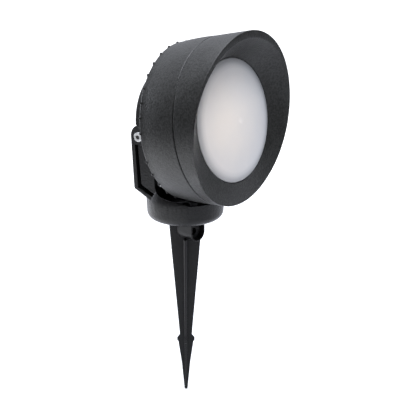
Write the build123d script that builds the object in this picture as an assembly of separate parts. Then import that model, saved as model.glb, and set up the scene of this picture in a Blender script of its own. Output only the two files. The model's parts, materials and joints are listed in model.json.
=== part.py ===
"""Garden spike spotlight: a round hooded lamp head tilts in a fork, whose cup swivels on a ground spike.

Row frame: origin on the spike's axis at the underside of the cup, +Z up, +X the way the beam points.
Head frame: origin at the centre of the drum's back rim, +X along the beam, +Z up before the head is pitched.
All sizes are in millimetres.
"""
from build123d import *
from math import acos, asin, atan2, cos, degrees, hypot, radians, sin
import os

# ---- how the lamp stands -------------------------------------------------------------------------
head_pitch = 8.6            # nose up, degrees
spike_turn = -10.7          # cable outlet of the spike against the beam, degrees
running_gap = 0.05          # radial clearance of a turning fit
seat_gap = 0.3              # gap between pieces that slide past each other
far = 400.0                 # longer than any piece, for cutters

# ---- cup and fork --------------------------------------------------------------------------------
cup_top_r = 39.8
cup_taper = 1.3             # how much smaller its radius is at the foot
cup_height = 23.0
cup_wall = 3.0
cup_floor = 4.0
cup_edge_fillet = 8.0
arm_root_depth = 1.5        # how far the arm's foot reaches down into the cup's wall
arm_inset = 4.8             # outer face of a fork arm inside the cup's rim
arm_eye_t = 6.5             # thickness of the arm round its screw
arm_root_t = 10.0           # thickness of the arm where it joins the cup
eye_r = 11.6
eye_ahead = 2.0             # centre of the eye's round outline in front of the hinge
eye_above = 0.6             # and above it
eye_pad_drop = 8.4          # how far the thick pad round the screw reaches below it
arm_rear_gap = 6.1          # rear edge of the arm's foot behind the hinge
arm_foot_z = 32.4           # height of the arm's rear lower corner
arm_corner_r = 3.0
arm_front_x = -12.9         # front edge of the arm above the sweep
arm_front_z = 40.0
sweep_points = ((-10.5, 33.4), (-4.5, 29.6), (8.0, 26.9))     # the front edge sweeps down into the cup's rim
arm_blend_x = 26.0          # and runs out on it here
arm_flare_height = 14.0     # the outer face leans out to the cup's rim below this height above it
arm_flare_step = 1.4        # radius of the flare's top past the arm's outer face
flange_top_w = 4.4          # rear flange between the arm's edge and the groove, at the eye
flange_foot_w = 4.8         # and at the foot
bottom_flange_w = 3.4
groove_top_w = 3.4          # the deep groove beside the flange
groove_foot_w = 4.4
groove_end = (-15.8, 26.6)
groove_corner_r = 2.0
groove_top_depth = 4.6
groove_foot_depth = 6.6
panel_sink = 1.0            # the panel in front of the groove lies this far below the eye's pad
panel_foot_z = 40.0

# ---- tilting hinge -------------------------------------------------------------------------------
hinge_x = -32.3
hinge_behind_plate = 11.6   # in the head frame, behind the back plate
hinge_below_axis = 9.4      # in the head frame, below the drum's axis
drum_dip = 5.5              # how far the cup's rim may stand above the back rim's lowest point
pivot_r = 3.0               # M6 screw
pivot_hole_gap = 0.1
pivot_thread_end = 1.5      # thread past the nut's outer face
pivot_head_r = 4.9          # low socket-cap head
pivot_head_h = 4.0
pivot_head_edge = 0.4       # its chamfer
pivot_socket = 4.8          # hexagon socket across flats
pivot_socket_depth = 2.6
pivot_sink = 2.6            # depth of the seat for the screw's head
washer_t = 1.6
washer_edge = 0.6           # washer's edge inside the ear's
ear_t = 8.0
ear_r = 9.4
ear_root_up = 4.0           # the ear's web widens to the back plate by this much above
ear_root_down = 6.0         # and below
bush_wall = 1.5
nut_flats = 10.0
nut_t = 5.0

# ---- ground spike --------------------------------------------------------------------------------
spike_tip_z = -190.5
rib_top_reach = 17.5        # half span of the ribs at the cup
rib_barb_reach = 6.3        # half span just above the barb
barb_z = -129.0
barb_reach = 9.1
barb_slope = 3.4            # height of the barb's slanting top
barb_length = 7.8           # whole height of the barb
barb_edge = 1.0             # height of its lower bevel
blade_reach = 7.9           # half span of the point just below the barb
blade_waist_z = -160.0
blade_waist_reach = 4.5
rib_t = 3.6
rib_tip_t = 2.4
tip_reach = 1.7
outlet_r = 9.5              # half width of the cable elbow
outlet_wall = 1.2
outlet_roof = 1.0           # plastic left over the square top of the mouth
outlet_reach = 18.4         # mouth of the elbow from the spike's axis
outlet_axis_z = -13.0
cable_r = 4.0
cable_seal_x = 6.0
cable_seal_t = 6.0
stub_r = 8.0                # M16 stub through the cup's floor
stub_bore_r = 5.0
stub_top_z = 13.0
locknut_flats = 24.0
locknut_t = 6.0
locknut_washer_r = 14.0
locknut_washer_t = 1.5
seal_ring_r = 11.0
seal_ring_t = 1.6
seal_seat_gap = 0.1         # round the seal in the cup's underside
seal_bore_gap = 0.3         # round the stub
washer_bore_gap = 0.2       # round a screw or the stub

# ---- drum ----------------------------------------------------------------------------------------
seam_x = 41.6
lip_wall = 5.4              # wall of the drum outside the hood's spigot
drum_taper = 5.2            # how much smaller the back rim's radius is than the seam's
edge_chamfer = 0.9
housing_wall = 3.0
drum_bulge = 0.8            # how far the drum's side swells beyond a straight cone
back_plate_x = -27.2        # the round plate that closes the back
back_edge_r = 53.0
back_edge_fillet = 1.4
back_band_x = -21.5         # front end of the plate's edge band
rim_step = 1.8              # from the rim down to the cone
cone_top_x = -3.2
bead_x = -1.8               # raised bead along the drum's back rim
bead_bevel = 0.5
rim_tooth_count = 33        # small teeth along the back rim
rim_tooth_t = 1.8
rim_tooth_rise = 0.9        # how far they stand out past the rim
rim_tooth_back_x = -4.6
rim_tooth_front_x = -0.8
rim_tooth_slope = 2.2       # length of its slanting back
arm_clearance_r = 20.5      # pockets in the plate's edge for the fork's arms, about the hinge
arm_recess_x = -25.3        # floor of the flat that clears the arm's front edge below the pocket
arm_recess_step = 1.2       # and its inner side past the inner face of the arm's foot
lip_x = 24.0                # where the bore that takes the hood's spigot ends

# ---- hood ----------------------------------------------------------------------------------------
hood_flare = 0.0968         # growth of the hood's radius per mm forward
hood_axis_x = 66.0          # where the oblique rim plane crosses the axis
rim_slant = 0.1853          # forward lean of the rim plane per mm of height
mouth_side_grow = 1.5       # inner mouth on the rim plane: half width over the seam's radius
mouth_up_grow = -0.5        # and half height over it
mouth_drop = 1.9            # and how far its centre lies below the axis
hood_wall = 3.0
glass_x = 53.9
glass_r = 61.1
glass_gap = 0.8
spigot_clearance = 0.08
spigot_wall = 3.6
spigot_back_x = 26.5
hood_flange_t = 3.0
lug_count = 3
lug_height = 1.7
lug_width = 12.0            # degrees
lug_x = 29.0
lug_t = 3.0
lug_end_gap = 0.5           # groove past each end of a lug
lug_slot_extra = 3.0        # entry slot wider than the lug, degrees
twist_angle = 22.0          # from locked to the entry slots
oring_x = 37.0
oring_t = 1.25
oring_side_gap = 0.2

# ---- glass ---------------------------------------------------------------------------------------
dome_height = 9.0
glass_t = 3.4
glass_flange_w = 4.9
glass_seat_gap = 2.0        # room round the glass's flange
gasket_t = 1.2
clamp_t = 2.5
clamp_overlap = 2.6         # how far the clamp ring reaches in over the glass
clamp_screw_r = 1.5
clamp_screw_length = 8.0
clamp_screw_gap = 0.1
clamp_screw_inset = 2.2     # screws outside the glass's seat
clamp_edge_w = 3.6          # ring outside the screws' pitch circle
clamp_side_gap = 1.12       # round the ring, inside the spigot
clamp_boss_r = 3.2
clamp_screw_count = 6

# ---- lamp and its holder -------------------------------------------------------------------------
lamp_r = 37.5
lamp_back_x = 16.0
lamp_t = 20.0
diffuser_r = 35.5
diffuser_rise = 3.0
hub_r = 20.0
hub_length = 8.0
pin_pitch = 53.0
pin_r = 2.5
pin_length = 8.0
holder_r = 38.5
holder_t = 12.0
holder_screw_y = 32.0
lamp_twist = 15.0
bracket_t = 1.5
bracket_w = 34.0
bracket_corner_r = 6.0
bracket_margin = 1.0        # bracket's end past the post
bracket_hole_r = 9.0        # for the leads to the holder
holder_screw_length = 5.0   # thread in the holder
holder_screw_hole = 6.0
bracket_screw_length = 8.0
bracket_screw_hole = 10.0
bracket_head_r = 2.9
bracket_head_h = 1.8
small_screw_r = 1.5         # M3 screws of the bracket and the holder
small_screw_gap = 0.2
post_r = 5.0
post_y = 48.0
reflector_inset = 1.8       # its edge inside the clamp ring's
reflector_t = 1.5
terminal_size = (13.0, 34.0, 15.0)
terminal_z = 24.0
terminal_poles = 3
grommet_r = 7.0
grommet_z = -36.0


# ---- sizes that follow from the others -----------------------------------------------------------
glass_flange_r = glass_r + glass_flange_w
glass_seat_r = glass_flange_r + glass_seat_gap
clamp_screw_pitch_r = glass_seat_r + clamp_screw_inset
clamp_outer_r = clamp_screw_pitch_r + clamp_edge_w
clamp_inner_r = glass_r - clamp_overlap
reflector_r = clamp_outer_r - reflector_inset
spigot_r = clamp_outer_r + clamp_side_gap + spigot_wall
lip_r = spigot_r + spigot_clearance
seam_r = lip_r + lip_wall
rim_r = seam_r - drum_taper
cone_top_r = rim_r - rim_step
rim_tooth_end_r = rim_r + rim_tooth_rise
mouth_side_r = seam_r + mouth_side_grow
mouth_up_r = seam_r + mouth_up_grow
hinge_behind_rim = hinge_behind_plate - back_plate_x
hinge_z = cup_height + rim_r - hinge_below_axis - drum_dip
eye_x = hinge_x + eye_ahead
eye_z = hinge_z + eye_above
arm_rear_x = hinge_x - arm_rear_gap
cup_base_r = cup_top_r - cup_taper
arm_outer_y = cup_top_r - arm_inset
arm_root_inner_y = arm_outer_y - arm_root_t
arm_flare_r = arm_outer_y + arm_flare_step
arm_recess_y = arm_root_inner_y + arm_recess_step

# ---- shared places and helpers -------------------------------------------------------------------
hinge_in_row = Location((hinge_x, 0, hinge_z))
hinge_in_head = Location((-hinge_behind_rim, 0, -hinge_below_axis))
head_place = hinge_in_row * Location((0, 0, 0), (0, -head_pitch, 0)) * hinge_in_head.inverse()
spike_place = Location((0, 0, 0), (0, 0, spike_turn))
along_x = Location((0, 0, 0), (0, 90, 0))

drum_slope = (seam_r - rim_r) / seam_x
eye_inner_y = arm_outer_y - arm_eye_t
ear_outer_y = eye_inner_y - washer_t - seat_gap
holder_back_x = lamp_back_x - holder_t
bracket_x = holder_back_x - reflector_t - bracket_t
oring_inner_r = lip_r - running_gap - 2 * oring_t
gasket_x = glass_x - hood_wall
glass_flange_x = gasket_x - gasket_t
clamp_x = glass_flange_x - glass_t


def cylinder_x(x0, x1, r, y=0.0, z=0.0):
    """A cylinder along X between two stations."""
    return Location((0.5 * (x0 + x1), y, z)) * along_x * Cylinder(r, abs(x1 - x0))


def cylinder_y(y0, y1, r, x=0.0, z=0.0):
    """A cylinder along Y between two stations."""
    return Location((x, 0.5 * (y0 + y1), z), (90, 0, 0)) * Cylinder(r, abs(y1 - y0))


def cylinder_z(z0, z1, r, x=0.0, y=0.0):
    """An upright cylinder between two heights."""
    return Location((x, y, 0.5 * (z0 + z1))) * Cylinder(r, abs(z1 - z0))


def block(x0, x1, y0, y1, z0, z1):
    """A box between two corners."""
    middle = (0.5 * (x0 + x1), 0.5 * (y0 + y1), 0.5 * (z0 + z1))
    return Location(middle) * Box(abs(x1 - x0), abs(y1 - y0), abs(z1 - z0))


def turned_x(points):
    """A solid of revolution about X from a closed outline of (x, radius) points."""
    outline = make_face(Polyline(*[(x, 0, r) for x, r in points], close=True))
    return revolve(outline, Axis.X)


def hexagon_y(y0, y1, flats, x=0.0, z=0.0):
    """A hexagonal prism along Y."""
    plane = Plane(origin=(x, max(y0, y1), z), x_dir=(1, 0, 0), z_dir=(0, -1, 0))
    return extrude(plane * RegularPolygon(flats / 2, 6, major_radius=False), abs(y1 - y0))


def both_sides(piece):
    """The piece and its mirror image across the XZ plane."""
    return [piece, mirror(piece, Plane.XZ)]


def group(pieces):
    """Separate solids kept together as one node."""
    solids = []
    for piece in pieces:
        solids.extend(piece.solids())
    return Compound(solids)


# ---- ground spike --------------------------------------------------------------------------------
def rib_section(z, reach, thickness):
    """A cross of two round-ended bars."""
    bar = SlotOverall(2 * reach, thickness)
    return Plane.XY.offset(z) * (Rot(0, 0, 45) * bar + Rot(0, 0, -45) * bar)


def make_ground_spike():
    barb_foot_z = barb_z - barb_length
    stations = [(0, rib_top_reach, rib_t)]
    stations += [(z, reach, rib_tip_t) for z, reach in (
        (barb_z, rib_barb_reach), (barb_z - barb_slope, barb_reach), (barb_foot_z + barb_edge, barb_reach),
        (barb_foot_z, blade_reach), (blade_waist_z, blade_waist_reach), (spike_tip_z + tip_reach, tip_reach))]
    ribs = Location((0, 0, spike_tip_z + tip_reach)) * Sphere(tip_reach)
    for upper, lower in zip(stations[:-1], stations[1:]):
        ribs += loft([rib_section(*upper), rib_section(*lower)])

    elbow = cylinder_z(outlet_axis_z, -seat_gap, outlet_r)
    elbow += block(0, outlet_reach, -outlet_r, outlet_r, outlet_axis_z, -seat_gap)
    elbow += cylinder_x(0, outlet_reach, outlet_r, 0, outlet_axis_z)
    elbow += Location((0, 0, outlet_axis_z)) * Sphere(outlet_r)

    # the two ribs on the cable side stop under the elbow
    over_ribs = block(0, 2 * rib_top_reach, -2 * rib_top_reach, 2 * rib_top_reach,
                      outlet_axis_z - 0.8 * outlet_r, 1)
    above = block(-far, far, -far, far, -seat_gap, far)
    spike = (ribs - over_ribs - above) + elbow
    spike += cylinder_z(-seat_gap - 1, stub_top_z, stub_r)
    spike -= cylinder_x(0, outlet_reach + 1, outlet_r - outlet_wall, 0, outlet_axis_z)
    mouth_half = outlet_r - outlet_wall
    spike -= block(cable_seal_x + cable_seal_t, outlet_reach + 1, -mouth_half, mouth_half,
                   outlet_axis_z, -seat_gap - outlet_roof)
    spike -= cylinder_z(outlet_axis_z, stub_top_z + 1, stub_bore_r)
    return spike_place * spike


def make_cable_seal():
    seal = cylinder_x(cable_seal_x, cable_seal_x + cable_seal_t, outlet_r - outlet_wall, 0, outlet_axis_z)
    seal -= cylinder_x(cable_seal_x - 1, cable_seal_x + cable_seal_t + 1, cable_r, 0, outlet_axis_z)
    return spike_place * seal


def make_swivel_washer():
    z = cup_floor + seat_gap
    ring = cylinder_z(z, z + locknut_washer_t, locknut_washer_r)
    return ring - cylinder_z(z - 1, z + locknut_washer_t + 1, stub_r + washer_bore_gap)


def make_swivel_locknut():
    z = cup_floor + seat_gap + locknut_washer_t
    flats = Plane.XY.offset(z) * RegularPolygon(locknut_flats / 2, 6, major_radius=False)
    return extrude(flats, locknut_t) - cylinder_z(z - 1, z + locknut_t + 1, stub_r)


# ---- cup and fork --------------------------------------------------------------------------------
def eye_tangent(x, z, side):
    """Where a line from a point touches the eye's round outline; side is -1 for its rear, 1 for its front."""
    away = hypot(x - eye_x, z - eye_z)
    angle = atan2(z - eye_z, x - eye_x) + side * acos(eye_r / away)
    return eye_x + eye_r * cos(angle), eye_z + eye_r * sin(angle)


def cup_meet_x():
    """Station behind the axis where the arm's outer face runs into the cup's rim."""
    return -(cup_top_r ** 2 - arm_outer_y ** 2) ** 0.5


def arm_outline():
    """The fork arm seen from the side, in the XZ plane."""
    rear_top = eye_tangent(arm_rear_x, arm_foot_z, -1)
    front_top = eye_tangent(arm_front_x, arm_front_z, 1)
    eye = ThreePointArc(rear_top, (eye_x, eye_z + eye_r), front_top)
    front = Line(front_top, (arm_front_x, arm_front_z))
    blend = Spline((arm_front_x, arm_front_z), *sweep_points, (arm_blend_x, cup_height))
    root = Polyline((arm_blend_x, cup_height), (arm_blend_x, cup_height - arm_root_depth),
                    (cup_meet_x(), cup_height - arm_root_depth), (cup_meet_x(), cup_height),
                    (arm_rear_x, arm_foot_z), rear_top)
    face = make_face(Wire([eye, front, blend] + root.edges()))
    corner = face.vertices().sort_by_distance((arm_rear_x, arm_foot_z))[0]
    return fillet(corner, arm_corner_r)


def groove_points():
    """Where the groove beside the rear flange starts, turns and ends, on its outer side."""
    drop = (arm_foot_z - cup_height) / (arm_rear_x - cup_meet_x())
    top = (eye_tangent(arm_rear_x, arm_foot_z, -1)[0] + flange_top_w, hinge_z - eye_pad_drop)
    foot = (arm_rear_x + flange_foot_w, arm_foot_z + bottom_flange_w + drop * flange_foot_w)
    return top, foot


def groove_outline():
    """The deep groove along the arm's rear and lower flange, in the XZ plane."""
    top, foot = groove_points()
    inner = (foot[0] + groove_foot_w, foot[1] + groove_foot_w)
    end_x, end_z = groove_end
    inner_end = (end_x + 0.5 * groove_foot_w, end_z + 0.8 * groove_foot_w)
    inner_top = (top[0] + groove_top_w, top[1])
    face = make_face(Polyline(top, foot, groove_end, inner_end, inner, inner_top, close=True))
    corners = [face.vertices().sort_by_distance(corner)[0] for corner in (foot, inner)]
    return fillet(corners, groove_corner_r)


def panel_outline():
    """The arm's sunk panel between the eye's pad and the sweep, in the XZ plane."""
    top, foot = groove_points()
    low = (foot[0], panel_foot_z)
    return make_face(Polyline(top, low, (cup_top_r, panel_foot_z), (cup_top_r, top[1]), close=True))


def sunk(outline, top_depth, foot_z, foot_depth):
    """A cutter for the arm's outer face: the outline down to a floor that leans from the pad to its foot."""
    pad_z = hinge_z - eye_pad_drop
    lean = degrees(atan2(foot_depth - top_depth, pad_z - foot_z))
    cutter = extrude(Plane.XZ * outline, 2 * arm_outer_y)
    floor = Location((0, -arm_outer_y + top_depth, pad_z), (lean, 0, 0))
    return cutter & (floor * block(-far, far, -far, 0, -far, far))


def make_arm():
    """The arm on the -Y side."""
    slab = extrude(Plane.XZ * arm_outline(), cup_top_r)
    flare_foot_z = cup_height - arm_root_depth
    flare_slope = (cup_top_r - cup_base_r) / cup_height
    flare_foot = Plane.XY.offset(flare_foot_z) * Circle(cup_top_r - flare_slope * arm_root_depth)
    rim = Plane.XY.offset(cup_height) * Circle(cup_top_r)
    flare_top = Plane.XY.offset(cup_height + arm_flare_height) * Circle(arm_flare_r)
    flare = (loft([flare_foot, rim]) + loft([rim, flare_top])) & block(cup_meet_x(), far, -far, 0, 0, far)
    arm = slab & (flare + block(-far, 0, -arm_outer_y, 0, 0, far))

    # the inner face leans in towards the cup below the thick pad, and follows its wall in front
    inner_z = hinge_z - ear_r
    fall = inner_z - cup_height
    lean = degrees(atan2(eye_inner_y - arm_root_inner_y, fall))
    arm -= Location((0, -eye_inner_y, inner_z), (lean, 0, 0)) * block(-far, far, 0, far, -far, 0)
    arm -= block(-far, far, -eye_inner_y, 0, inner_z - 0.01, far)
    arm -= cylinder_z(0, arm_front_z, cup_top_r - cup_wall) & block(arm_front_x, far, -far, 0, 0, far)

    arm -= sunk(groove_outline(), groove_top_depth, cup_height, groove_foot_depth)
    arm -= sunk(panel_outline(), panel_sink, panel_foot_z, 0)
    return arm


def make_yoke():
    wall_in = cup_top_r - cup_wall
    body = loft([Plane.XY * Circle(cup_base_r), Plane.XY.offset(cup_height) * Circle(cup_top_r)])
    body = fillet(body.edges().group_by(Axis.Z)[0], cup_edge_fillet)
    hollow = cylinder_z(cup_floor, cup_height + 1, wall_in)
    hollow = fillet(hollow.edges().group_by(Axis.Z)[0], cup_wall)
    cup = body - hollow
    for arm in both_sides(make_arm()):
        cup += arm
    cup -= cylinder_z(-1, cup_floor + 1, stub_r + running_gap)
    cup -= cylinder_z(-1, seal_ring_t, seal_ring_r + seal_seat_gap)
    cup -= cylinder_y(-far, far, pivot_r + pivot_hole_gap, hinge_x, hinge_z)
    for side in (-1, 1):
        seat_y = side * (arm_outer_y - pivot_sink)
        cup -= cylinder_y(seat_y, side * far, pivot_head_r + seat_gap, hinge_x, hinge_z)
    return cup


def make_swivel_seal():
    ring = cylinder_z(0, seal_ring_t, seal_ring_r)
    return ring - cylinder_z(-1, seal_ring_t + 1, stub_r + seal_bore_gap)


# ---- hinge hardware ------------------------------------------------------------------------------
def make_pivot_screw():
    """The screw on the -Y side."""
    seat_y = -(arm_outer_y - pivot_sink)
    nut_inner_y = -(ear_outer_y - ear_t - seat_gap - nut_t)
    shank = cylinder_y(seat_y, nut_inner_y + pivot_thread_end, pivot_r)
    top_y = seat_y - pivot_head_h
    head = cylinder_y(top_y, seat_y, pivot_head_r)
    head = chamfer(head.edges().group_by(Axis.Y)[0], pivot_head_edge)
    head = Location((hinge_x, 0, hinge_z)) * head
    shank = Location((hinge_x, 0, hinge_z)) * shank
    socket = hexagon_y(top_y - 1, top_y + pivot_socket_depth, pivot_socket, hinge_x, hinge_z)
    return head + shank - socket


def make_pivot_washer():
    ring = cylinder_y(-eye_inner_y, -(eye_inner_y - washer_t), ear_r - washer_edge, hinge_x, hinge_z)
    return ring - cylinder_y(-far, 0, pivot_r + washer_bore_gap, hinge_x, hinge_z)


def make_pivot_nut():
    outer = -(ear_outer_y - ear_t - seat_gap)
    nut = hexagon_y(outer, outer + nut_t, nut_flats, hinge_x, hinge_z)
    return nut - cylinder_y(-far, 0, pivot_r, hinge_x, hinge_z)


def make_pivot_bush():
    """Bush in the ear, in the head frame."""
    x = -hinge_behind_rim
    z = -hinge_below_axis
    tube = cylinder_y(-ear_outer_y, -(ear_outer_y - ear_t), pivot_r + bush_wall, x, z)
    return tube - cylinder_y(-far, 0, pivot_r + running_gap, x, z)


# ---- rear housing --------------------------------------------------------------------------------
def drum_r(x):
    """Radius of the drum's straight cone at a station in front of the back rim."""
    return rim_r + drum_slope * x


def cone_r(x):
    """Radius of the cone behind the rim."""
    return back_edge_r + (cone_top_r - back_edge_r) * (x - back_band_x) / (cone_top_x - back_band_x)


def housing_outline():
    """The drum's outside from the middle of the back plate to the seam, in the XZ plane."""
    f = back_edge_fillet
    sag = f * (1 - 0.5 ** 0.5)
    front_x = seam_x - edge_chamfer
    middle_x = 0.5 * front_x
    middle_r = drum_r(middle_x) + drum_bulge
    back = Line((back_plate_x, 0, 0), (back_plate_x, 0, back_edge_r - f))
    shoulder = ThreePointArc((back_plate_x, 0, back_edge_r - f), (back_plate_x + sag, 0, back_edge_r - sag),
                             (back_plate_x + f, 0, back_edge_r))
    side = Polyline((back_plate_x + f, 0, back_edge_r), (back_band_x, 0, back_edge_r),
                    (cone_top_x, 0, cone_top_r), (bead_x, 0, cone_top_r), (bead_x, 0, rim_r - bead_bevel),
                    (bead_x + bead_bevel, 0, rim_r), (0, 0, rim_r))
    bulge = ThreePointArc((0, 0, rim_r), (middle_x, 0, middle_r), (front_x, 0, drum_r(front_x)))
    return [back, shoulder] + side.edges() + [bulge]


def housing_shell():
    """The moulded shell: back plate, cone and drum."""
    w = housing_wall
    front_x = seam_x - edge_chamfer
    band_in = back_edge_r - 0.8 * w
    inside = Polyline((front_x, 0, drum_r(front_x)), (seam_x, 0, seam_r - edge_chamfer), (seam_x, 0, lip_r),
                      (lip_x, 0, lip_r), (w, 0, drum_r(0) - w), (cone_top_x + w, 0, cone_top_r - 0.8 * w),
                      (back_band_x + w, 0, band_in), (back_plate_x + w, 0, band_in),
                      (back_plate_x + w, 0, 0), (back_plate_x, 0, 0))
    return revolve(make_face(Wire(housing_outline() + inside.edges())), Axis.X)


def housing_solid():
    """The same outside filled in, to trim what is added inside it."""
    front_x = seam_x - edge_chamfer
    inside = Polyline((front_x, 0, drum_r(front_x)), (front_x, 0, 0), (back_plate_x, 0, 0))
    return revolve(make_face(Wire(housing_outline() + inside.edges())), Axis.X)


def rim_tooth():
    """A small tooth that stands out past the back rim, in the XZ plane."""
    foot_r = cone_r(rim_tooth_back_x)
    slope_end_x = rim_tooth_back_x + rim_tooth_slope
    points = [(rim_tooth_back_x, foot_r - 1.0), (rim_tooth_back_x, foot_r), (slope_end_x, rim_tooth_end_r),
              (rim_tooth_front_x, rim_tooth_end_r), (rim_tooth_front_x, rim_r - 1.0),
              (cone_top_x, cone_top_r - 1.0)]
    outline = make_face(Polyline(*points, close=True))
    return Location((0, rim_tooth_t / 2, 0)) * extrude(Plane.XZ * outline, rim_tooth_t)


def arm_room(grow):
    """Where a fork arm passes the housing, on the -Y side; grown for the wall round it."""
    inner_y = -(eye_inner_y - seat_gap - grow)
    room = cylinder_y(-far, inner_y, arm_clearance_r + grow, -hinge_behind_rim, -hinge_below_axis)
    return room + block(-far, arm_recess_x + grow, -far, grow - arm_recess_y, -far, -hinge_below_axis)


def housing_ear():
    """The hinge ear on the -Y side, in the head frame."""
    x = -hinge_behind_rim
    z = -hinge_below_axis
    y0 = -ear_outer_y
    y1 = -(ear_outer_y - ear_t)
    ear = cylinder_y(y0, y1, ear_r, x, z)
    foot_x = back_plate_x + 1
    top_z, low_z = z + ear_r, z - ear_r
    root = Polyline((x, top_z), (foot_x, top_z + ear_root_up), (foot_x, low_z - ear_root_down), (x, low_z),
                    close=True)
    web = extrude(Plane.XZ * make_face(root), ear_t)
    return ear + Location((0, y1, 0)) * web


def make_rear_housing():
    body = housing_shell()
    tooth = rim_tooth()
    for i in range(rim_tooth_count):
        angle = 360.0 * i / rim_tooth_count
        beside_eye = abs(rim_r * cos(radians(angle)) + hinge_below_axis) < eye_r / 2
        if not beside_eye:
            body += Rot(angle, 0, 0) * tooth
    for y in (-post_y, post_y):
        body += cylinder_x(back_plate_x + 1, bracket_x, post_r, y, 0)
        body -= cylinder_x(bracket_x - bracket_screw_hole, bracket_x + 1, small_screw_r, y, 0)
    for wall in both_sides(arm_room(housing_wall) & housing_solid()):
        body += wall
    for room in both_sides(arm_room(0)):
        body -= room
    for ear in both_sides(housing_ear()):
        body += ear
    body -= cylinder_y(-far, far, pivot_r + bush_wall, -hinge_behind_rim, -hinge_below_axis)
    body -= cylinder_x(back_plate_x - 1, back_plate_x + housing_wall + 1, grommet_r, 0, grommet_z)

    # the bayonet: a groove inside the lip and one entry slot for each lug
    slot_r = spigot_r + lug_height + seat_gap
    groove = cylinder_x(lug_x - lug_end_gap, lug_x + lug_t + lug_end_gap, slot_r)
    groove -= cylinder_x(lug_x - 1, lug_x + lug_t + 1, lip_r - 1)
    body -= groove
    for i in range(lug_count):
        angle = 360.0 * i / lug_count + twist_angle
        body -= Rot(angle, 0, 0) * sector(lug_x, seam_x + 1, lip_r - 1, slot_r, lug_width + lug_slot_extra)
    return body


def sector(x0, x1, r0, r1, width):
    """A ring segment along X, centred on +Z, of a width in degrees."""
    ring = cylinder_x(x0, x1, r1) - cylinder_x(x0 - 1, x1 + 1, r0)
    half = radians(width / 2)
    reach = 2 * r1
    wedge = Polyline((0, 0), (-reach * sin(half), reach * cos(half)), (reach * sin(half), reach * cos(half)),
                     close=True)
    plane = Plane(origin=(x0 - 1, 0, 0), x_dir=(0, 1, 0), z_dir=(1, 0, 0))
    return ring & extrude(plane * make_face(wedge), x1 - x0 + 2)


def make_head_grommet():
    x0 = back_plate_x
    x1 = back_plate_x + housing_wall
    body = cylinder_x(x0 - 2.0, x0, grommet_r + 2.0, 0, grommet_z)
    body += cylinder_x(x0, x1, grommet_r, 0, grommet_z)
    body += cylinder_x(x1, x1 + 1.5, grommet_r + 1.5, 0, grommet_z)
    body -= cylinder_x(x0 - 3, x1 + 0.5, grommet_r - 3.0, 0, grommet_z)
    return body


# ---- hood ----------------------------------------------------------------------------------------
def hood_r(x):
    """Outer radius of the hood."""
    return seam_r + hood_flare * (x - seam_x)


def rim_plane(back=0.0):
    """The oblique plane of the rim, moved back along the axis."""
    return Plane(origin=(hood_axis_x - back, 0, 0), x_dir=(0, 1, 0), z_dir=(1, 0, -rim_slant))


def funnel_section(share, grow, back):
    """The hollow's outline at a share of the way from the glass (0) to the rim (1)."""
    throat_r = glass_r + glass_gap
    mouth_z = mouth_up_r / (1 + rim_slant ** 2) ** 0.5
    half_y = throat_r + share * (mouth_side_r - throat_r) + grow
    half_z = throat_r + share * (mouth_z - throat_r) + grow
    middle_z = -share * mouth_drop
    middle_x = glass_x + share * (hood_axis_x - rim_slant * mouth_drop - glass_x) - back
    lean = share * rim_slant * mouth_z / (throat_r + share * (mouth_z - throat_r))
    plane = Plane(origin=(middle_x, 0, middle_z), x_dir=(0, 1, 0), z_dir=(1, 0, -lean))
    return plane * Ellipse(half_y, half_z * (1 + lean ** 2) ** 0.5)


def funnel(grow=0.0, back=0.0):
    """The hollow in front of the glass; grown and moved back for the outside of its wall."""
    return loft([funnel_section(-0.12, grow, back), funnel_section(1.15, grow, back)], ruled=True)


def hood_bosses(x0, x1, r):
    """Six round pillars behind the funnel, one for each clamp screw."""
    pillars = Part()
    for i in range(clamp_screw_count):
        angle = 360.0 * (i + 0.5) / clamp_screw_count
        pillars += Rot(angle, 0, 0) * cylinder_x(x0, x1, r, 0, clamp_screw_pitch_r)
    return pillars


def make_hood():
    far_x = hood_axis_x + rim_slant * 1.2 * seam_r
    back_x = seam_x + seat_gap
    inner_x = back_x + hood_flange_t
    spigot_in = spigot_r - spigot_wall
    c = edge_chamfer
    outer = turned_x([(gasket_x, glass_r + glass_gap), (gasket_x, glass_seat_r), (inner_x, spigot_in + 1.0),
                      (inner_x, spigot_in), (spigot_back_x, spigot_in), (spigot_back_x, spigot_r),
                      (back_x, spigot_r), (back_x, hood_r(back_x) - c), (back_x + c, hood_r(back_x + c)),
                      (far_x, hood_r(far_x)), (far_x, glass_r + glass_gap)])
    cavity = turned_x([(inner_x, spigot_in + 1.0), (inner_x, hood_r(inner_x) - hood_wall),
                       (far_x, hood_r(far_x) - hood_wall), (far_x, glass_seat_r),
                       (gasket_x + hood_wall, glass_seat_r), (gasket_x - 0.5, glass_seat_r)])
    cavity -= extrude(rim_plane(hood_wall) * Rectangle(far, far), far)
    cavity -= funnel(hood_wall, hood_wall * 0.6)
    cavity -= hood_bosses(clamp_x, far_x + 1, clamp_boss_r)
    body = outer - cavity - funnel()
    body -= extrude(rim_plane() * Rectangle(far, far), far)
    body += hood_bosses(clamp_x, gasket_x + 2.0, clamp_boss_r)

    x0, x1 = oring_x - oring_t - oring_side_gap, oring_x + oring_t + oring_side_gap
    body -= cylinder_x(x0, x1, spigot_r + 1) - cylinder_x(x0, x1, oring_inner_r)
    for i in range(lug_count):
        lug = sector(lug_x, lug_x + lug_t, spigot_r - 1, spigot_r + lug_height, lug_width)
        body += Rot(360.0 * i / lug_count, 0, 0) * lug
    body -= hood_bosses(clamp_x - 5, gasket_x + 1.5, clamp_screw_r)
    return body


def make_hood_seal():
    ring_r = oring_inner_r + oring_t
    section = Plane.XZ * Location((oring_x, ring_r)) * Circle(oring_t)
    return revolve(section, Axis.X)


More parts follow.
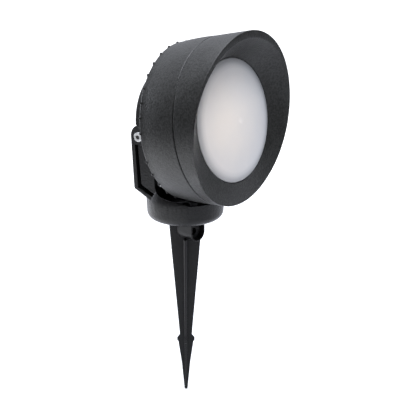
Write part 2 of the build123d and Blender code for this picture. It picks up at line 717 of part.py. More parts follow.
# ---- glass and its fixing ------------------------------------------------------------------------
def dome_arc(x_edge, r_edge, rise):
    """The arc of a cap from its edge to the axis, bulging forward."""
    ball_r = (r_edge ** 2 + rise ** 2) / (2 * rise)
    half = asin(r_edge / ball_r) / 2
    middle = (x_edge + rise - ball_r * (1 - cos(half)), 0, ball_r * sin(half))
    return ThreePointArc((x_edge, 0, r_edge), middle, (x_edge + rise, 0, 0))


def make_front_glass():
    inner_r = glass_r - glass_t
    outline = Polyline((clamp_x, 0, inner_r), (clamp_x, 0, glass_flange_r),
                       (glass_flange_x, 0, glass_flange_r), (glass_flange_x, 0, glass_r), (glass_x, 0, glass_r))
    inner = dome_arc(glass_x, inner_r, dome_height - glass_t)
    edges = outline.edges() + [dome_arc(glass_x, glass_r, dome_height), inner]
    edges += [Line((glass_x + dome_height - glass_t, 0, 0), (glass_x + dome_height, 0, 0))]
    edges += [Line((glass_x, 0, inner_r), (clamp_x, 0, inner_r))]
    return revolve(make_face(Wire(edges)), Axis.X)


def make_glass_gasket():
    ring = cylinder_x(glass_flange_x, gasket_x, glass_flange_r)
    return ring - cylinder_x(glass_flange_x - 1, gasket_x + 1, glass_r + 0.5)


def make_clamp_ring():
    ring = cylinder_x(clamp_x - clamp_t, clamp_x, clamp_outer_r)
    ring -= cylinder_x(clamp_x - clamp_t - 1, clamp_x + 1, clamp_inner_r)
    for i in range(clamp_screw_count):
        angle = 360.0 * (i + 0.5) / clamp_screw_count
        hole_r = clamp_screw_r + clamp_screw_gap
        hole = cylinder_x(clamp_x - clamp_t - 1, clamp_x + 1, hole_r, 0, clamp_screw_pitch_r)
        ring -= Rot(angle, 0, 0) * hole
    return ring


def pan_screw_x(x_seat, length, r, y=0.0, z=0.0):
    """A pan-head screw driven towards +X, its head behind x_seat."""
    head = cylinder_x(x_seat - 1.2 * r, x_seat, 1.9 * r, y, z)
    return head + cylinder_x(x_seat - 0.1, x_seat + length, r, y, z)


def make_clamp_screws():
    screw = pan_screw_x(clamp_x - clamp_t, clamp_screw_length, clamp_screw_r, 0, clamp_screw_pitch_r)
    return group([Rot(360.0 * (i + 0.5) / clamp_screw_count, 0, 0) * screw for i in range(clamp_screw_count)])


# ---- lamp, holder and wiring ---------------------------------------------------------------------
def make_lamp_housing():
    x0 = lamp_back_x + seat_gap
    body = turned_x([(x0, 0), (x0, lamp_r - 4), (x0 + 4, lamp_r), (x0 + lamp_t - 2, lamp_r),
                     (x0 + lamp_t, lamp_r - 1), (x0 + lamp_t, diffuser_r), (x0 + lamp_t - 3, diffuser_r),
                     (x0 + lamp_t - 3, 0)])
    hub = cylinder_x(x0 - hub_length, x0, hub_r)
    return body + hub


def make_lamp_diffuser():
    x = lamp_back_x + seat_gap + lamp_t
    rim = Polyline((x + diffuser_rise, 0, 0), (x - 3, 0, 0), (x - 3, 0, diffuser_r), (x, 0, diffuser_r))
    return revolve(make_face(Wire(rim.edges() + [dome_arc(x, diffuser_r, diffuser_rise)])), Axis.X)


def make_lamp_pins():
    x0 = lamp_back_x + seat_gap
    pin = cylinder_x(x0 - pin_length, x0, pin_r, 0, pin_pitch / 2)
    return group([pin, Rot(180, 0, 0) * pin])


def make_lamp_holder():
    body = cylinder_x(lamp_back_x - holder_t, lamp_back_x, holder_r)
    body -= cylinder_x(lamp_back_x - holder_t - 1, lamp_back_x + 1, hub_r + 0.5)
    depth = pin_length + 1.0
    for turn in (0, 180):
        start = Rot(turn, 0, 0)
        arc = sector(lamp_back_x - depth, lamp_back_x + 1, pin_pitch / 2 - pin_r - 0.3,
                     pin_pitch / 2 + pin_r + 0.3, lamp_twist)
        body -= start * Rot(lamp_twist / 2, 0, 0) * arc
        for angle in (0, lamp_twist):
            body -= start * Rot(angle, 0, 0) * cylinder_x(lamp_back_x - depth, lamp_back_x + 1, pin_r + 0.3,
                                                          0, pin_pitch / 2)
    for y in (-holder_screw_y, holder_screw_y):
        body -= cylinder_x(holder_back_x - 1, holder_back_x + holder_screw_hole, small_screw_r, y, 0)
    return body


def make_lamp_bracket():
    half = post_y + post_r + bracket_margin
    plate = block(bracket_x, bracket_x + bracket_t, -half, half, -bracket_w / 2, bracket_w / 2)
    plate = fillet(plate.edges().filter_by(Axis.X), bracket_corner_r)
    for y in (-post_y, -holder_screw_y, holder_screw_y, post_y):
        plate -= cylinder_x(bracket_x - 1, bracket_x + bracket_t + 1, small_screw_r + small_screw_gap, y, 0)
    return plate - cylinder_x(bracket_x - 1, bracket_x + bracket_t + 1, bracket_hole_r)


def make_bracket_screws():
    screws = []
    for y in (-post_y, post_y):
        front = bracket_x + bracket_t
        head = cylinder_x(front, front + bracket_head_h, bracket_head_r, y, 0)
        screws.append(head + cylinder_x(front - bracket_screw_length, front + 0.1, small_screw_r, y, 0))
    return group(screws)


def make_holder_screws():
    length = bracket_t + reflector_t + holder_screw_length
    screw = pan_screw_x(bracket_x, length, small_screw_r, holder_screw_y, 0)
    return group([Rot(180, 0, 0) * screw, screw])


def make_reflector():
    """A bowl whose collar is clamped between the holder and the bracket."""
    t = reflector_t
    back = holder_back_x - t
    bend = lamp_back_x + 5.0
    front = clamp_x - clamp_t - 1.2 * clamp_screw_r - 1.5
    inner = holder_r + 0.5
    bowl = turned_x([(back, hub_r + 3), (back, inner + t), (bend, inner + t), (front - t, reflector_r - t),
                     (front - t, reflector_r), (front, reflector_r), (front, reflector_r - t),
                     (bend + 0.5, inner), (back + t, inner), (back + t, hub_r + 3)])
    for y in (-holder_screw_y, holder_screw_y):
        bowl -= cylinder_x(back - 1, back + t + 1, small_screw_r + small_screw_gap, y, 0)
    return bowl


def make_terminal_block():
    dx, dy, dz = terminal_size
    x0 = back_plate_x + housing_wall
    body = block(x0, x0 + dx, -dy / 2, dy / 2, terminal_z - dz / 2, terminal_z + dz / 2)
    pitch = dy / terminal_poles
    for i in range(terminal_poles):
        y = (i - (terminal_poles - 1) / 2) * pitch
        bore = Location((x0 + dx * 0.45, y, terminal_z)) * Cylinder(2.0, dz + 2)
        body -= bore
        body -= cylinder_x(x0 + dx * 0.45, x0 + dx + 1, 2.2, y, terminal_z)
    return body


def make_terminal_screws():
    dx, dy, dz = terminal_size
    x0 = back_plate_x + housing_wall
    pitch = dy / terminal_poles
    screws = []
    for i in range(terminal_poles):
        y = (i - (terminal_poles - 1) / 2) * pitch
        screws.append(cylinder_x(x0 + dx * 0.6, x0 + dx - 1.0, 2.0, y, terminal_z))
    return group(screws)


# ---- the set of nodes ----------------------------------------------------------------------------
def make_nodes():
    standing = {
        "ground_spike": make_ground_spike(),
        "cable_seal": make_cable_seal(),
        "swivel_washer": make_swivel_washer(),
        "swivel_locknut": make_swivel_locknut(),
        "yoke": make_yoke(),
        "swivel_seal": make_swivel_seal(),
        "pivot_screws": group(both_sides(make_pivot_screw())),
        "pivot_washers": group(both_sides(make_pivot_washer())),
        "pivot_nuts": group(both_sides(make_pivot_nut())),
    }
    in_head = {
        "rear_housing": make_rear_housing(),
        "pivot_bushes": group(both_sides(make_pivot_bush())),
        "head_grommet": make_head_grommet(),
        "hood": make_hood(),
        "hood_seal": make_hood_seal(),
        "front_glass": make_front_glass(),
        "glass_gasket": make_glass_gasket(),
        "glass_clamp_ring": make_clamp_ring(),
        "clamp_screws": make_clamp_screws(),
        "reflector": make_reflector(),
        "lamp_housing": make_lamp_housing(),
        "lamp_diffuser": make_lamp_diffuser(),
        "lamp_pins": make_lamp_pins(),
        "lamp_holder": make_lamp_holder(),
        "lamp_bracket": make_lamp_bracket(),
        "bracket_screws": make_bracket_screws(),
        "holder_screws": make_holder_screws(),
        "terminal_block": make_terminal_block(),
        "terminal_screws": make_terminal_screws(),
    }
    for name, piece in in_head.items():
        standing[name] = head_place * piece
    return standing


os.makedirs("parts", exist_ok=True)
for node, shape in make_nodes().items():
    export_step(shape, f"parts/{node}.step")
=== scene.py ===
import json
import math

import bmesh
import bpy
from mathutils import Matrix, Vector


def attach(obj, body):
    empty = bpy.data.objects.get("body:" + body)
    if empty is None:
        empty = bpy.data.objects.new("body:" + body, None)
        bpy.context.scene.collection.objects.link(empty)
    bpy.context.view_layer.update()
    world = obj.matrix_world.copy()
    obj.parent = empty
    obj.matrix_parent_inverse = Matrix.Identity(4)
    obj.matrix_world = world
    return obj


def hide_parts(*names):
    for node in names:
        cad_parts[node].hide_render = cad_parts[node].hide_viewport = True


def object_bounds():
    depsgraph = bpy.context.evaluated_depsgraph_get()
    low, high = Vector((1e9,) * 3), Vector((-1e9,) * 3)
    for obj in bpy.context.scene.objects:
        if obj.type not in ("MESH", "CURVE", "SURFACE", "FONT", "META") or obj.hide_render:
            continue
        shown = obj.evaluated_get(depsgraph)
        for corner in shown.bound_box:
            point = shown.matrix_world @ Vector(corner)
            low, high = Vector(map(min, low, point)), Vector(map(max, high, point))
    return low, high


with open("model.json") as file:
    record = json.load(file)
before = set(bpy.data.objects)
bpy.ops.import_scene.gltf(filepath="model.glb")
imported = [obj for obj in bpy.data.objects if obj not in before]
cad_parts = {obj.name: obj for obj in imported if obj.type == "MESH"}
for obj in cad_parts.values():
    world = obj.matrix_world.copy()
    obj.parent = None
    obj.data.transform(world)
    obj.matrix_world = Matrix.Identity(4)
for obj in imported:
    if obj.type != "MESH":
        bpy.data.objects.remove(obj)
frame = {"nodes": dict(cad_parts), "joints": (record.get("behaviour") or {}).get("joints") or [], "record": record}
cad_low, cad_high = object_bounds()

# ---- the view of the photograph, in metres and degrees, the lens in millimetres ------------------
VIEW_AZIMUTH = 34.34
VIEW_ELEVATION = 18.0
VIEW_AIM = Vector((0.0358, -0.0116, 0.0185))
VIEW_DISTANCE = 1.8018
VIEW_LENS = 155.93
SENSOR = 36.0

# ---- the room: strengths of its light, and directions and distances in metres ---------------------
ROOM_TINT = (0.93, 0.96, 1.06, 1.0)
ROOM_HORIZON = 0.01
ROOM_CEILING = 0.45
ROOM_BACK_WALL = 1.0
OVERHEAD = Vector((0.0, 0.0, 1.0))
CEILING_REACH = (0.05, 0.9)
BACK_WALL = Vector((-0.85, 0.53, 0.0))
BACK_WALL_REACH = (0.3, 0.85)
FLOOR_SIZE = 12.0
FLOOR_COLOUR = (0.82, 0.82, 0.82)
FLOOR_GLOW = (0.2, 1.0)             # to the eye, beside the spike and far away
FLOOR_GLOW_REACH = (0.25, 1.2)
FLOOR_SHINE = (1.5, 0.1)            # in the object's gloss, beside it and far away
FLOOR_SHINE_REACH = (0.5, 0.9)
FLOOR_SHINE_SIDE = Vector((-0.6, -0.8, 0.0))
FLOOR_SHINE_EDGE = (0.0, 0.3)
LAMPS = {
    "above": dict(place=(0.0, 0.0, 1.0), aim=(0.0, 0.0, 0.0), size=0.9, power=9.5, spread=110.0),
    "above_front": dict(place=(0.9, 0.0, 1.0), aim=(0.0, 0.0, 0.1), size=0.7, power=2.4, spread=110.0),
    "behind_left": dict(place=(-1.6, 0.1, 0.1), aim=(0.0, 0.0, 0.05), size=0.8, power=9.0, spread=150.0),
}

# ---- the lamp head's axis, and what the frame says of each piece -----------------------------------
JOINTS = {joint["name"]: joint for joint in frame["joints"]}
BEAM = Vector(JOINTS["hood_twist"]["axis"]).normalized()
DRUM_BACK = Vector(JOINTS["hood_twist"]["pos_m"])
SLOTS = {part["node"]: part["material_slot"] for part in frame["record"]["subparts"]}
BODY_OF = {node: body for body, nodes in frame["record"]["behaviour"]["bodies"].items() for node in nodes}


# ---- shader helpers ------------------------------------------------------------------------------
def new_material(name, roughness, metallic=0.0, colour=(0.5, 0.5, 0.5)):
    """A material with its node tree and its shader."""
    material = bpy.data.materials.new(name)
    material.use_nodes = True
    tree = material.node_tree
    shader = tree.nodes["Principled BSDF"]
    shader.inputs["Roughness"].default_value = roughness
    shader.inputs["Metallic"].default_value = metallic
    shader.inputs["Base Color"].default_value = (*colour, 1.0)
    return material, tree, shader


def add(tree, kind, **values):
    """A node with its properties and inputs set by name."""
    node = tree.nodes.new(kind)
    for name, value in values.items():
        if name in node.inputs:
            node.inputs[name].default_value = value
        else:
            setattr(node, name, value)
    return node


def place_on_object(tree):
    """Where a point lies on its object, in metres."""
    return add(tree, "ShaderNodeTexCoord").outputs["Object"]


def ramp(tree, source, reach, colours):
    """A colour that goes from one to another while the source crosses a reach."""
    node = add(tree, "ShaderNodeValToRGB")
    for element, position, colour in zip(node.color_ramp.elements, reach, colours):
        element.position = position
        element.color = (*colour, 1.0)
    tree.links.new(source, node.inputs["Fac"])
    return node.outputs["Color"]


def either(tree, first, second):
    """The larger of two masks."""
    node = add(tree, "ShaderNodeMath", operation="MAXIMUM")
    tree.links.new(first, node.inputs[0])
    tree.links.new(second, node.inputs[1])
    return node.outputs["Value"]


def times(tree, source, factor):
    """A value times a number or another value."""
    node = add(tree, "ShaderNodeMath", operation="MULTIPLY")
    tree.links.new(source, node.inputs[0])
    if isinstance(factor, float):
        node.inputs[1].default_value = factor
    else:
        tree.links.new(factor, node.inputs[1])
    return node.outputs["Value"]


def plus(tree, first, second):
    """Two values added."""
    node = add(tree, "ShaderNodeMath", operation="ADD")
    tree.links.new(first, node.inputs[0])
    tree.links.new(second, node.inputs[1])
    return node.outputs["Value"]


def between(tree, source, reach=(0.0, 1.0), levels=(0.0, 1.0), curve="SMOOTHSTEP"):
    """A value that goes from one level to another while the source crosses a reach."""
    node = add(tree, "ShaderNodeMapRange", interpolation_type=curve,
               **{"From Min": reach[0], "From Max": reach[1], "To Min": levels[0], "To Max": levels[1]})
    tree.links.new(source, node.inputs["Value"])
    return node.outputs["Result"]


def along(tree, source, direction):
    """How far a place, or a direction of the room, lies along a direction."""
    node = add(tree, "ShaderNodeVectorMath", operation="DOT_PRODUCT")
    tree.links.new(source, node.inputs[0])
    node.inputs[1].default_value = direction
    return node.outputs["Value"]


def relief(tree, shader, height, strength, depth):
    """Fine relief on a shader from a height."""
    node = add(tree, "ShaderNodeBump", Strength=strength, Distance=depth)
    tree.links.new(height, node.inputs["Height"])
    tree.links.new(node.outputs["Normal"], shader.inputs["Normal"])


def uneven_roughness(tree, shader, source, roughness, drift):
    """Roughness that drifts round its middle with a mask."""
    levels = (roughness + drift[0], roughness + drift[1])
    tree.links.new(between(tree, source, levels=levels, curve="LINEAR"), shader.inputs["Roughness"])


def new_group(name, inputs, outputs):
    """A shader group with named float inputs and outputs."""
    group = bpy.data.node_groups.new(name, "ShaderNodeTree")
    for label, value in inputs.items():
        socket = group.interface.new_socket(label, in_out="INPUT", socket_type="NodeSocketFloat")
        socket.default_value = value
    for label in outputs:
        group.interface.new_socket(label, in_out="OUTPUT", socket_type="NodeSocketFloat")
    group.nodes.new("NodeGroupInput")
    group.nodes.new("NodeGroupOutput")
    return group


def use_group(tree, group, **values):
    """The group placed in a material, with its own values."""
    node = tree.nodes.new("ShaderNodeGroup")
    node.node_tree = group
    for label, value in values.items():
        node.inputs[label.replace("_", " ")].default_value = value
    return node


def grain_group():
    """Moulded grain: fine pimples, their broad mottling and a dust mask."""
    group = new_group("moulded grain", {"Grain Scale": 900.0, "Mottle Scale": 40.0},
                      ["Height", "Mottle", "Dust"])
    scales, masks = group.nodes["Group Input"].outputs, group.nodes["Group Output"].inputs
    place = place_on_object(group)
    pimples = add(group, "ShaderNodeTexNoise", Detail=3.0, Roughness=0.6)
    mottle = add(group, "ShaderNodeTexNoise", Detail=4.0, Roughness=0.55)
    dust = add(group, "ShaderNodeTexNoise", Scale=14.0, Detail=5.0, Roughness=0.6)
    for node in (pimples, mottle, dust):
        group.links.new(place, node.inputs["Vector"])
    group.links.new(scales["Grain Scale"], pimples.inputs["Scale"])
    group.links.new(scales["Mottle Scale"], mottle.inputs["Scale"])
    group.links.new(pimples.outputs["Fac"], masks["Height"])
    group.links.new(mottle.outputs["Fac"], masks["Mottle"])
    group.links.new(dust.outputs["Fac"], masks["Dust"])
    return group


GRAIN = grain_group()


def axis_distance(tree, place):
    """Distance of a point of the head from the beam's axis, in metres."""
    centre = add(tree, "ShaderNodeVectorMath", operation="SUBTRACT")
    centre.inputs[1].default_value = DRUM_BACK
    tree.links.new(place, centre.inputs[0])
    cross = add(tree, "ShaderNodeVectorMath", operation="CROSS_PRODUCT")
    cross.inputs[1].default_value = BEAM
    tree.links.new(centre.outputs["Vector"], cross.inputs[0])
    length = add(tree, "ShaderNodeVectorMath", operation="LENGTH")
    tree.links.new(cross.outputs["Vector"], length.inputs[0])
    return length.outputs["Value"]


MOTTLE_SHARE = 0.3
FLECK_REACH = (0.40, 0.60)
PLASTIC_DRIFT = (-0.06, 0.08)
METAL_DRIFT = (-0.08, 0.12)


def moulded_plastic(name, dark, light, roughness, grain=520.0, bump=0.6, gloss=0.5):
    """Plastic or rubber with a moulded grain, flecked with two shades."""
    material, tree, shader = new_material(name, roughness)
    shader.inputs["Specular IOR Level"].default_value = gloss
    masks = use_group(tree, GRAIN, Grain_Scale=grain).outputs
    fleck = plus(tree, times(tree, masks["Mottle"], MOTTLE_SHARE),
                 times(tree, masks["Height"], 1 - MOTTLE_SHARE))
    tree.links.new(ramp(tree, fleck, FLECK_REACH, (dark, light)), shader.inputs["Base Color"])
    uneven_roughness(tree, shader, masks["Dust"], roughness, PLASTIC_DRIFT)
    relief(tree, shader, masks["Height"], bump, 0.0006)
    return material


def bare_metal(name, colour, roughness):
    """Turned or drawn metal with an uneven sheen."""
    material, tree, shader = new_material(name, roughness, 1.0, colour)
    masks = use_group(tree, GRAIN, Grain_Scale=1500.0, Mottle_Scale=120.0).outputs
    uneven_roughness(tree, shader, masks["Mottle"], roughness, METAL_DRIFT)
    relief(tree, shader, masks["Height"], 0.08, 0.0001)
    return material


# Painted glow: a warm patch in the glass's own colour, off-centre to one side, stands in for the lamp's light
# showing through the frosting
GLASS_GLOW_PLACE = DRUM_BACK + 0.053 * BEAM + Vector((0.0, -0.024, 0.0))
GLASS_GLOW_REACH = (0.022, 0.085)
GLASS_PAINTED_GLOW, GLASS_COOL = (0.98, 0.91, 0.82), (0.74, 0.74, 0.74)
# Painted shade: the glass's colour is multiplied to grey towards its rim, where the hood and the dome's fall-off
# shade it
GLASS_RIM_SHADE_REACH = (0.0530, 0.0600)
GLASS_UNSHADED, GLASS_RIM_SHADE = (1.0, 1.0, 1.0), (0.50, 0.51, 0.52)
GLASS_GLOW_PATCHINESS = 0.02


def frosted_glass():
    """Sandblasted glass: milky, with a painted warm glow of the lamp on one side and painted grey shade at its
    rim.
    """
    material, tree, shader = new_material("frosted_glass", 0.42)
    shader.inputs["Transmission Weight"].default_value = 0.30
    shader.inputs["IOR"].default_value = 1.5
    place = place_on_object(tree)
    # distance from the centre of the painted warm glow, its edge made patchy by noise
    from_glow_centre = add(tree, "ShaderNodeVectorMath", operation="DISTANCE")
    tree.links.new(place, from_glow_centre.inputs[0])
    from_glow_centre.inputs[1].default_value = GLASS_GLOW_PLACE
    glow_patches = add(tree, "ShaderNodeTexNoise", Scale=38.0, Detail=3.0, Roughness=0.6)
    tree.links.new(place, glow_patches.inputs["Vector"])
    uneven = plus(tree, from_glow_centre.outputs["Value"], times(tree, glow_patches.outputs["Fac"], GLASS_GLOW_PATCHINESS))
    # the painted warm glow, multiplied by the painted shade at the rim
    glow_and_rim_shade = add(tree, "ShaderNodeMix", data_type="RGBA", blend_type="MULTIPLY")
    glow_and_rim_shade.inputs["Factor"].default_value = 1.0
    tree.links.new(ramp(tree, uneven, GLASS_GLOW_REACH, (GLASS_PAINTED_GLOW, GLASS_COOL)), glow_and_rim_shade.inputs["A"])
    tree.links.new(ramp(tree, axis_distance(tree, place), GLASS_RIM_SHADE_REACH, (GLASS_UNSHADED, GLASS_RIM_SHADE)),
                   glow_and_rim_shade.inputs["B"])
    tree.links.new(glow_and_rim_shade.outputs["Result"], shader.inputs["Base Color"])
    relief(tree, shader, use_group(tree, GRAIN, Grain_Scale=1400.0).outputs["Height"], 0.15, 0.0002)
    return material


PLASTICS = {
    "body_plastic": dict(dark=(0.0050, 0.0050, 0.0038), light=(0.0215, 0.0217, 0.0198), roughness=0.42,
                         gloss=0.28),
    # yoke_plastic is the body's plastic made darker: painted shade, for the shade the head casts on the cup and
    # between the arms
    "yoke_plastic": dict(dark=(0.0042, 0.0042, 0.0038), light=(0.0085, 0.0085, 0.0080), roughness=0.30,
                         gloss=0.24),
    "spike_plastic": dict(dark=(0.010, 0.010, 0.010), light=(0.014, 0.014, 0.014), roughness=0.36, bump=0.1,
                          gloss=0.15),
    "black_plastic": dict(dark=(0.006, 0.006, 0.006), light=(0.01, 0.01, 0.01), roughness=0.4, bump=0.1,
                          gloss=0.3),
    "black_rubber": dict(dark=(0.010, 0.010, 0.010), light=(0.018, 0.018, 0.018), roughness=0.7, grain=600.0),
    "silicone": dict(dark=(0.50, 0.49, 0.46), light=(0.60, 0.59, 0.56), roughness=0.55, grain=500.0,
                     bump=0.1),
    "nylon": dict(dark=(0.66, 0.65, 0.60), light=(0.74, 0.73, 0.69), roughness=0.45, grain=700.0,
                  bump=0.08),
    "white_plastic": dict(dark=(0.72, 0.72, 0.70), light=(0.78, 0.78, 0.76), roughness=0.35, grain=700.0,
                          bump=0.06),
    "opal": dict(dark=(0.82, 0.66, 0.46), light=(0.88, 0.74, 0.54), roughness=0.3, grain=900.0, bump=0.04),
}
METALS = {
    "reflector_aluminium": dict(colour=(0.86, 0.86, 0.87), roughness=0.25),
    "galvanised": dict(colour=(0.52, 0.53, 0.54), roughness=0.42),
    "steel": dict(colour=(0.52, 0.52, 0.51), roughness=0.32),
    "brass": dict(colour=(0.78, 0.58, 0.28), roughness=0.3),
}
MATERIALS = {name: moulded_plastic(name, **finish) for name, finish in PLASTICS.items()}
MATERIALS.update({name: bare_metal(name, **finish) for name, finish in METALS.items()})
MATERIALS["frosted_glass"] = frosted_glass()


# ---- the CAD pieces, dressed ---------------------------------------------------------------------
HARD_EDGE = math.radians(30)
FLAT_EDGE = math.radians(0.5)
SAME_PLACE = 0.00002
EDGE_ROUNDING = {"yoke": 0.00035, "rear_housing": 0.0003, "ground_spike": 0.0004, "pivot_screws": 0.00015}


def show(name, mesh, node, rounding, segments=3):
    """Puts a mesh in the scene in place of a CAD piece, its weighted edges rounded."""
    piece = bpy.data.objects.new(name, mesh)
    bpy.context.scene.collection.objects.link(piece)
    mesh.materials.clear()
    mesh.materials.append(MATERIALS[SLOTS[node]])
    if rounding:
        bevel = piece.modifiers.new("edges", "BEVEL")
        bevel.width = rounding
        bevel.segments = segments
        bevel.limit_method = "WEIGHT"
        bevel.use_clamp_overlap = False
    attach(piece, BODY_OF[node])
    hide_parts(node)


def dress(node):
    """A smooth copy of a CAD piece; its outer corners are rounded, its inner ones stay as they are."""
    work = bmesh.new()
    work.from_mesh(frame["nodes"][node].data)
    bmesh.ops.remove_doubles(work, verts=work.verts, dist=SAME_PLACE)
    bmesh.ops.dissolve_limit(work, angle_limit=FLAT_EDGE, verts=work.verts, edges=work.edges)
    weight = work.edges.layers.float.new("bevel_weight_edge")
    for face in work.faces:
        face.smooth = True
    for line in work.edges:
        hard = line.calc_face_angle(0.0) > HARD_EDGE
        line.smooth = not hard
        line[weight] = float(hard and line.is_convex)
    mesh = bpy.data.meshes.new(node + "_dressed")
    work.to_mesh(mesh)
    work.free()
    show(node + "_dressed", mesh, node, EDGE_ROUNDING.get(node, 0.0))


# ---- the hood, whose rim is cut at a slant: metres along the beam (x) and from its axis (r) ---------
HEAD = Matrix.Translation(DRUM_BACK) @ Vector((1, 0, 0)).rotation_difference(BEAM).to_matrix().to_4x4()
HOOD_SIDES = 180
SEAM_X, SEAM_R = 0.0416, 0.0840
HOOD_FLARE = 0.0968                 # outside radius gained per length
RIM_X = 0.0660                      # where the rim's plane crosses the axis
RIM_SLANT = 0.1853                  # how far that plane leans forward per height
SPIGOT = ((0.0265, 0.07492), (0.0265, 0.07852), (0.0419, 0.07852), (0.0419, 0.08312))
SHOULDER_X = 0.0428                 # end of the seam's chamfer
THROAT_X, THROAT_R = 0.0539, 0.0619
GLASS_SEAT = ((0.0509, 0.0619), (0.0509, 0.0680), (0.0449, 0.07592), (0.0449, 0.07492))
MOUTH_SIDE_R, MOUTH_UP_R = 0.0855, 0.0835
MOUTH_DROP = 0.0019                 # how far the mouth's centre lies under the axis
RIM_ROUNDING = 0.0018               # bevel of an edge of weight 1
OUTER_SHARE, INNER_SHARE, CORNER_SHARE = 0.6, 0.4, 0.15
NARROWEST_BAND = 0.0004
FADE_FROM, FADE_OVER = 4.0, 30.0    # turn of the mouth's edge at which its rounding sets in, degrees


def hood_r(x):
    """Outer radius of the hood at a station along the beam."""
    return SEAM_R + HOOD_FLARE * (x - SEAM_X)


def ring(half_y, half_z, x, z=0.0, lean=0.0):
    """The place of an upright or leaning ellipse round the beam, for a circle of radius 1."""
    across = Vector((0, 1, 0))
    ahead = Vector((1, 0, -lean)).normalized()
    up = ahead.cross(across)
    place = Matrix((across * half_y, up * half_z, ahead)).transposed().to_4x4()
    place.translation = Vector((x, 0, z))
    return place


def funnel_ring(share):
    """The hollow's outline at a share of the way from the glass to the rim."""
    mouth_z = MOUTH_UP_R / math.hypot(1, RIM_SLANT)
    half_y = THROAT_R + share * (MOUTH_SIDE_R - THROAT_R)
    half_z = THROAT_R + share * (mouth_z - THROAT_R)
    lean = share * RIM_SLANT * mouth_z / half_z
    x = THROAT_X + share * (RIM_X - RIM_SLANT * MOUTH_DROP - THROAT_X)
    return ring(half_y, half_z * math.hypot(1, lean), x, -share * MOUTH_DROP, lean)


def rim_ring():
    """The edge where the flared outside meets the slanted rim."""
    radius = hood_r(RIM_X)
    squeeze = 1 - (HOOD_FLARE * RIM_SLANT) ** 2
    z = radius * HOOD_FLARE * RIM_SLANT / squeeze
    half_z = radius / squeeze * math.hypot(1, RIM_SLANT)
    return ring(radius / squeeze ** 0.5, half_z, RIM_X + RIM_SLANT * z, z, RIM_SLANT)


def on_rim(line):
    """Whether an edge lies in the plane of the rim."""
    return all(abs(end.co.x - RIM_X - RIM_SLANT * end.co.z) < 1e-5 for end in line.verts)


def rim_weight(line):
    """Bevel weight of a rim edge: it follows the flat band's width and, on the mouth, how far it turns."""
    middle = 0.5 * (line.verts[0].co + line.verts[1].co)
    reach = math.hypot(middle.y, middle.z)
    side, up = middle.y / reach, middle.z / reach
    mouth = 1.0 / math.hypot(side / MOUTH_SIDE_R, up / MOUTH_UP_R) - up * MOUTH_DROP
    band = min(RIM_ROUNDING, max(NARROWEST_BAND, hood_r(middle.x) - mouth))
    if reach > hood_r(middle.x) - 0.0003:
        share = OUTER_SHARE
    else:
        turn = math.degrees(line.calc_face_angle(0.0))
        share = INNER_SHARE * min(1.0, max(0.0, turn - FADE_FROM) / FADE_OVER)
    return band / RIM_ROUNDING * share


def hood_mesh():
    """Spigot, flared outside, rim, funnel and glass seat: one ring drawn round the wall and closed."""
    shoulder_r = hood_r(SHOULDER_X)
    places = [ring(r, r, x) for x, r in SPIGOT]
    places += [ring(shoulder_r, shoulder_r, SHOULDER_X), rim_ring()]
    places += [funnel_ring(1.0), funnel_ring(0.5), funnel_ring(0.0)]
    places += [ring(r, r, x) for x, r in GLASS_SEAT]
    places.append(places[0])

    work = bmesh.new()
    bmesh.ops.create_circle(work, cap_ends=False, segments=HOOD_SIDES, radius=1.0, matrix=places[0])
    edges = work.edges[:]
    for here, there in zip(places[:-1], places[1:]):
        made = bmesh.ops.extrude_edge_only(work, edges=edges)["geom"]
        verts = {item for item in made if isinstance(item, bmesh.types.BMVert)}
        edges = [line for line in work.edges if verts.issuperset(line.verts)]
        bmesh.ops.transform(work, matrix=there @ here.inverted(), verts=list(verts))
    bmesh.ops.remove_doubles(work, verts=work.verts[:], dist=1e-6)
    bmesh.ops.recalc_face_normals(work, faces=work.faces[:])

    weight = work.edges.layers.float.new("bevel_weight_edge")
    for line in work.edges:
        if on_rim(line):
            line[weight] = rim_weight(line)
        elif line.calc_face_angle(0.0) >= HARD_EDGE:
            line.smooth = False
            line[weight] = CORNER_SHARE
    for face in work.faces:
        face.smooth = True
    bmesh.ops.transform(work, matrix=HEAD, verts=work.verts[:])
    mesh = bpy.data.meshes.new("hood_shell")
    work.to_mesh(mesh)
    work.free()
    return mesh


for node in frame["nodes"]:
    if node == "hood":
        show("hood_shell", hood_mesh(), node, RIM_ROUNDING, segments=4)
    else:
        dress(node)


# ---- floor, light and camera ---------------------------------------------------------------------
def make_floor():
    """A pale floor under the spike's tip, white to the eye far away, with the object's shadow beside it.

    In the object's gloss it shines on one side only, near the object.
    """
    work = bmesh.new()
    bmesh.ops.create_grid(work, x_segments=1, y_segments=1, size=FLOOR_SIZE)
    bmesh.ops.translate(work, verts=work.verts, vec=(0, 0, cad_low.z))
    mesh = bpy.data.meshes.new("floor")
    work.to_mesh(mesh)
    work.free()
    floor = bpy.data.objects.new("floor", mesh)
    bpy.context.scene.collection.objects.link(floor)
    material, tree, shader = new_material("pale_floor", 0.9, colour=FLOOR_COLOUR)
    shader.inputs["Specular IOR Level"].default_value = 0.0
    place = place_on_object(tree)
    away = add(tree, "ShaderNodeVectorMath", operation="LENGTH")
    tree.links.new(place, away.inputs[0])
    lift = between(tree, away.outputs["Value"], FLOOR_GLOW_REACH, FLOOR_GLOW)
    shine = times(tree, between(tree, along(tree, place, FLOOR_SHINE_SIDE), FLOOR_SHINE_EDGE),
                  between(tree, away.outputs["Value"], FLOOR_SHINE_REACH, FLOOR_SHINE))
    rays = add(tree, "ShaderNodeLightPath").outputs
    seen = either(tree, rays["Is Camera Ray"], rays["Is Transmission Ray"])
    glow = add(tree, "ShaderNodeEmission")
    tree.links.new(either(tree, times(tree, seen, lift), times(tree, rays["Is Glossy Ray"], shine)),
                   glow.inputs["Strength"])
    total = add(tree, "ShaderNodeAddShader")
    tree.links.new(shader.outputs["BSDF"], total.inputs[0])
    tree.links.new(glow.outputs["Emission"], total.inputs[1])
    tree.links.new(total.outputs["Shader"], tree.nodes["Material Output"].inputs["Surface"])
    mesh.materials.append(material)


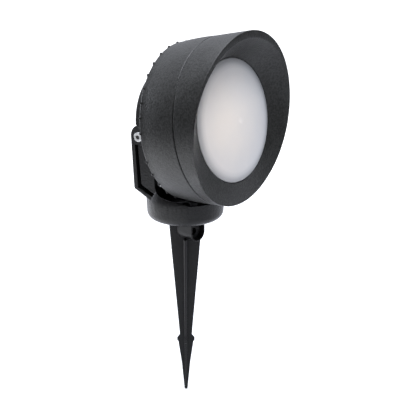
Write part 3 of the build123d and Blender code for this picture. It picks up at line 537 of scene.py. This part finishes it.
def make_world():
    """White to the eye and through glass; to the object's light and gloss, a ceiling and a wall."""
    world = bpy.data.worlds.new("room")
    bpy.context.scene.world = world
    world.use_nodes = True
    tree = world.node_tree
    background = tree.nodes["Background"]
    direction = add(tree, "ShaderNodeTexCoord").outputs["Generated"]
    ceiling = between(tree, along(tree, direction, OVERHEAD), CEILING_REACH, (ROOM_HORIZON, ROOM_CEILING))
    wall = between(tree, along(tree, direction, BACK_WALL), BACK_WALL_REACH, (0.0, ROOM_BACK_WALL))
    rays = add(tree, "ShaderNodeLightPath").outputs
    seen = either(tree, rays["Is Camera Ray"], rays["Is Transmission Ray"])
    colour = add(tree, "ShaderNodeMix", data_type="RGBA")
    colour.inputs["A"].default_value = ROOM_TINT
    colour.inputs["B"].default_value = (1, 1, 1, 1)
    tree.links.new(seen, colour.inputs["Factor"])
    tree.links.new(colour.outputs["Result"], background.inputs["Color"])
    level = add(tree, "ShaderNodeMix", data_type="FLOAT")
    level.inputs["B"].default_value = 1.0
    tree.links.new(seen, level.inputs["Factor"])
    tree.links.new(plus(tree, ceiling, wall), level.inputs["A"])
    tree.links.new(level.outputs["Result"], background.inputs["Strength"])


def soft_lamp(name, place, aim, size, power, spread):
    """A square soft box, slightly cool."""
    data = bpy.data.lights.new(name, "AREA")
    data.size = size
    data.energy = power
    data.spread = math.radians(spread)
    data.color = ROOM_TINT[:3]
    lamp = bpy.data.objects.new(name, data)
    lamp.location = place
    lamp.rotation_mode = "QUATERNION"
    lamp.rotation_quaternion = (Vector(aim) - Vector(place)).to_track_quat("-Z", "Y")
    bpy.context.scene.collection.objects.link(lamp)


def make_camera():
    """The camera where the photograph was taken from."""
    azimuth, elevation = math.radians(VIEW_AZIMUTH), math.radians(VIEW_ELEVATION)
    back = Vector((math.sin(azimuth) * math.cos(elevation), -math.cos(azimuth) * math.cos(elevation),
                   math.sin(elevation)))
    data = bpy.data.cameras.new("photo_view")
    data.lens = VIEW_LENS
    data.sensor_width = SENSOR
    data.clip_start = 0.05
    data.clip_end = 60.0
    camera = bpy.data.objects.new("photo_view", data)
    camera.location = VIEW_AIM + back * VIEW_DISTANCE
    camera.rotation_mode = "QUATERNION"
    camera.rotation_quaternion = (-back).to_track_quat("-Z", "Y")
    bpy.context.scene.collection.objects.link(camera)
    bpy.context.scene.camera = camera


make_floor()
make_world()
for name, lamp in LAMPS.items():
    soft_lamp(name, **lamp)
make_camera()
bpy.context.scene.view_settings.view_transform = "Standard"
